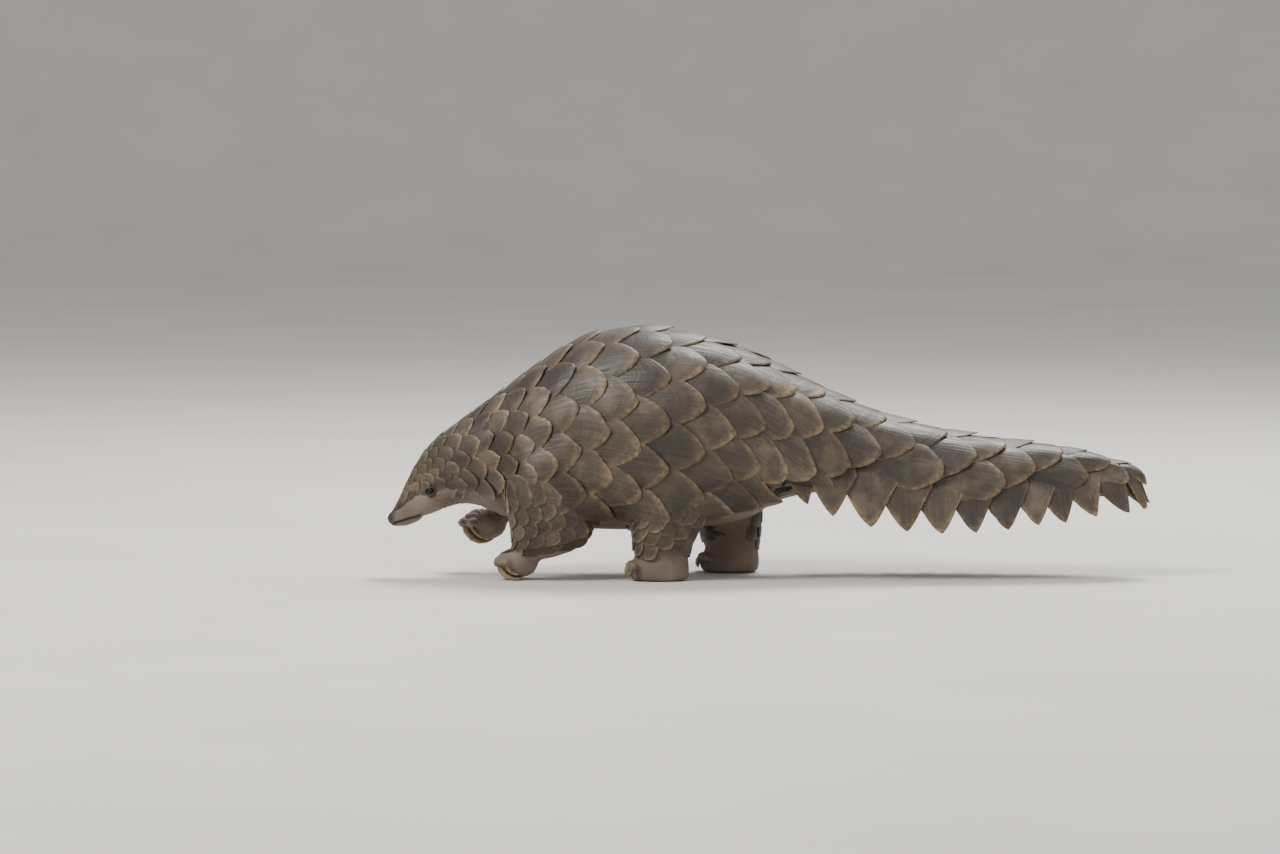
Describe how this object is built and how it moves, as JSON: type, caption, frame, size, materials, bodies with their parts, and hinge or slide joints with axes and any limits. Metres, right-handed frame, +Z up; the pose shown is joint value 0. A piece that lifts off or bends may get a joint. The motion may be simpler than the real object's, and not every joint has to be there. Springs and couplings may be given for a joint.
{
  "type": "ground pangolin",
  "caption": "Life-size ground pangolin in mid-stride: head low, back arched, one forepaw lifted, broad scaled tail held off the floor.",
  "frame": {"origin": "on the floor, under the middle of the animal's bounding box", "axes": "+X from nose to tail along the longest extent, -Y the animal's left side, +Z up"},
  "size_m": [0.8026, 0.1968, 0.2637],
  "materials": {
    "scale": "dusty horn scales, brown with paler worn edges",
    "skin": "dry grey-brown skin with sparse bristles",
    "claw": "worn horn",
    "eye": "wet, near black"
  },
  "bodies": {
    "root": {"ear_left": "skin", "ear_right": "skin", "eye_left": "eye", "eye_right": "eye", "fore_claw_left_1": "claw", "fore_claw_left_2": "claw", "fore_claw_left_3": "claw", "fore_claw_left_4": "claw", "fore_claw_left_5": "claw", "fore_claw_right_1": "claw", "fore_claw_right_2": "claw", "fore_claw_right_3": "claw", "fore_claw_right_4": "claw", "fore_claw_right_5": "claw", "fore_foot_left": "skin", "fore_foot_right": "skin", "fore_leg_left": "scale", "fore_leg_right": "scale", "head": "scale", "hind_claw_left_1": "claw", "hind_claw_left_2": "claw", "hind_claw_left_3": "claw", "hind_claw_left_4": "claw", "hind_claw_left_5": "claw", "hind_claw_right_1": "claw", "hind_claw_right_2": "claw", "hind_claw_right_3": "claw", "hind_claw_right_4": "claw", "hind_claw_right_5": "claw", "hind_foot_left": "skin", "hind_foot_right": "skin", "hind_leg_left": "scale", "hind_leg_right": "scale", "lower_jaw": "skin", "neck": "scale", "nose": "skin", "tail_end": "scale", "tail_root": "scale", "trunk": "scale"}
  },
  "joints": []
}
